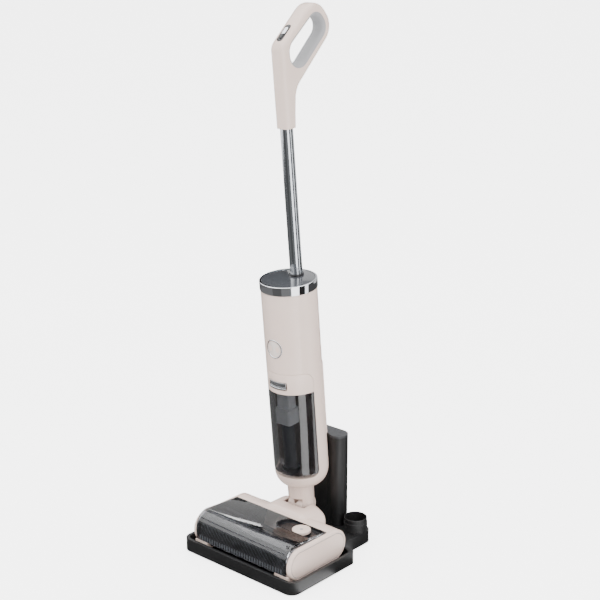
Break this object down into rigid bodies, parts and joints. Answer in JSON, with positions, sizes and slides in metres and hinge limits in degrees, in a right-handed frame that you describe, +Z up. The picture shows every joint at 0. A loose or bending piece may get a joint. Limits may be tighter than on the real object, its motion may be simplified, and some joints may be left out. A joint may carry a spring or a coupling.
{
  "type": "wet dry floor scrubber",
  "caption": "Cordless upright floor washer with roller head, clear dirty-water tank, pole and loop handle, standing in its charging dock.",
  "frame": {"origin": "centre of the dock's footprint on the floor", "axes": "+Z up, -Y towards the front of the floor head, X across the machine with X = 0 the plane of symmetry"},
  "size_m": [0.306, 0.292, 1.0993],
  "materials": {
    "dock_black": "matt moulded ABS",
    "cap_grey": "satin moulded ABS",
    "foot_rubber": "matt",
    "contact_gold": "plated",
    "inlet_black": "satin",
    "screw_steel": "zinc plated",
    "chassis_grey": "matt",
    "body_beige": "satin moulded ABS",
    "clean_tank_beige": "satin",
    "pale_plastic": "matt",
    "squeegee_rubber": "matt",
    "motor_metal": "cast",
    "smoke_window": "polished clear polycarbonate, smoke tint",
    "smoke_tank": "polished clear polycarbonate, smoke tint",
    "nap": "microfibre pile",
    "wheel_black": "satin",
    "chrome": "polished",
    "pole_steel": "polished stainless steel",
    "plate_grey": "high gloss",
    "display_rim": "satin",
    "display_face": "gloss",
    "battery_case": "matt",
    "board_green": "solder mask",
    "pump_grey": "matt",
    "grip_grey": "soft-touch overmould",
    "deflector_grey": "satin",
    "button_black": "gloss",
    "float_amber": "matt"
  },
  "bodies": {
    "dock": {"dock_tray": "dock_black", "dock_base_plate": "dock_black", "dock_post": "dock_black", "dock_post_cap": "cap_grey", "accessory_cup": "dock_black", "dock_feet": "foot_rubber", "dock_contacts": "contact_gold", "power_inlet": "inlet_black", "dock_screws": "screw_steel"},
    "head": {"head_chassis": "chassis_grey", "head_rear_cover": "body_beige", "end_cap_left": "body_beige", "end_cap_right": "body_beige", "roller_scraper": "chassis_grey", "spray_bar": "pale_plastic", "squeegee": "squeegee_rubber", "suction_elbow": "chassis_grey", "roller_motor": "motor_metal", "drive_belt": "inlet_black", "head_screws": "screw_steel"},
    "window": {"roller_window": "smoke_window"},
    "knob": {"window_knob": "body_beige"},
    "roller": {"roller_core": "chassis_grey", "roller_sleeve": "nap", "roller_pulley": "chassis_grey"},
    "motor_drive": {"motor_pulley": "motor_metal"},
    "wheel_left": {"wheel_left": "wheel_black"},
    "wheel_right": {"wheel_right": "wheel_black"},
    "neck": {"neck_yoke": "body_beige", "pivot_pin": "body_beige"},
    "upright": {"lower_bowl": "body_beige", "swivel_retainer": "screw_steel", "rear_shell": "body_beige", "upper_shell": "body_beige", "chrome_ring": "chrome", "top_plate": "plate_grey", "display_ring": "display_rim", "display_lens": "display_face", "suction_motor": "motor_metal", "battery_pack": "battery_case", "control_board": "board_green", "water_pump": "pump_grey", "charge_pads": "contact_gold", "pole_collar": "inlet_black", "pole_tube": "pole_steel", "handle_shell_left": "body_beige", "handle_shell_right": "body_beige", "handle_grip": "grip_grey", "control_panel": "inlet_black"},
    "fan": {"impeller": "motor_metal"},
    "power_button": {"power_button": "display_rim"},
    "mode_button": {"mode_button": "button_black"},
    "dirty_tank": {"tank_shell": "smoke_tank", "tank_lid": "body_beige", "tank_filter": "pale_plastic", "inlet_tube": "pump_grey", "inlet_deflector": "deflector_grey"},
    "latch": {"tank_latch": "display_rim"},
    "float": {"tank_float": "float_amber"},
    "clean_tank": {"clean_tank": "clean_tank_beige"}
  },
  "joints": [
    {"name": "undock", "type": "slide", "parent": "dock", "child": "head", "axis": [0, -0.2079, 0.9781], "range_m": [0, 0.5]},
    {"name": "recline", "type": "hinge", "parent": "head", "child": "neck", "pos_m": [0, 0.0535, 0.082], "axis": [-1, 0, 0], "range_deg": [0, 70]},
    {"name": "swivel", "type": "hinge", "parent": "neck", "child": "upright", "pos_m": [0, 0.06047, 0.08267], "axis": [0, -0.0958, 0.9954], "range_deg": [-30, 30]},
    {"name": "window_lift", "type": "slide", "parent": "head", "child": "window", "axis": [0, 0, 1], "range_m": [0, 0.05]},
    {"name": "knob_press", "type": "slide", "parent": "window", "child": "knob", "axis": [0, 0, -1], "range_m": [0, 0.002], "stiffness_N_per_m": 400},
    {"name": "roller_spin", "type": "hinge", "parent": "head", "child": "roller", "pos_m": [0, -0.096, 0.043], "axis": [1, 0, 0], "continuous": true},
    {"name": "motor_spin", "type": "hinge", "parent": "head", "child": "motor_drive", "pos_m": [0, -0.022, 0.04], "axis": [1, 0, 0], "continuous": true},
    {"name": "wheel_left_spin", "type": "hinge", "parent": "head", "child": "wheel_left", "pos_m": [0, 0.03, 0.0363], "axis": [1, 0, 0], "continuous": true},
    {"name": "wheel_right_spin", "type": "hinge", "parent": "head", "child": "wheel_right", "pos_m": [0, 0.03, 0.0363], "axis": [1, 0, 0], "continuous": true},
    {"name": "fan_spin", "type": "hinge", "parent": "upright", "child": "fan", "pos_m": [0, 0.06047, 0.08267], "axis": [0, -0.0958, 0.9954], "continuous": true},
    {"name": "power_press", "type": "slide", "parent": "upright", "child": "power_button", "axis": [0, 0.6456, -0.7637], "range_m": [0, 0.0015], "stiffness_N_per_m": 400},
    {"name": "mode_press", "type": "slide", "parent": "upright", "child": "mode_button", "axis": [0, 0.6456, -0.7637], "range_m": [0, 0.0015], "stiffness_N_per_m": 400},
    {"name": "dirty_tank_out", "type": "slide", "parent": "upright", "child": "dirty_tank", "axis": [0, -0.9954, -0.0958], "range_m": [0, 0.15]},
    {"name": "latch_press", "type": "slide", "parent": "dirty_tank", "child": "latch", "axis": [0, 0.9954, 0.0958], "range_m": [0, 0.002], "stiffness_N_per_m": 400},
    {"name": "float_rise", "type": "slide", "parent": "dirty_tank", "child": "float", "axis": [0, -0.0958, 0.9954], "range_m": [0, 0.06]},
    {"name": "clean_tank_out", "type": "slide", "parent": "upright", "child": "clean_tank", "axis": [0, 0.9954, 0.0958], "range_m": [0, 0.11]}
  ],
  "couplings": [
    {"joint": "recline", "follows": "undock", "rad_per_m": 2.44},
    {"joint": "motor_spin", "follows": "roller_spin", "ratio": 2}
  ]
}
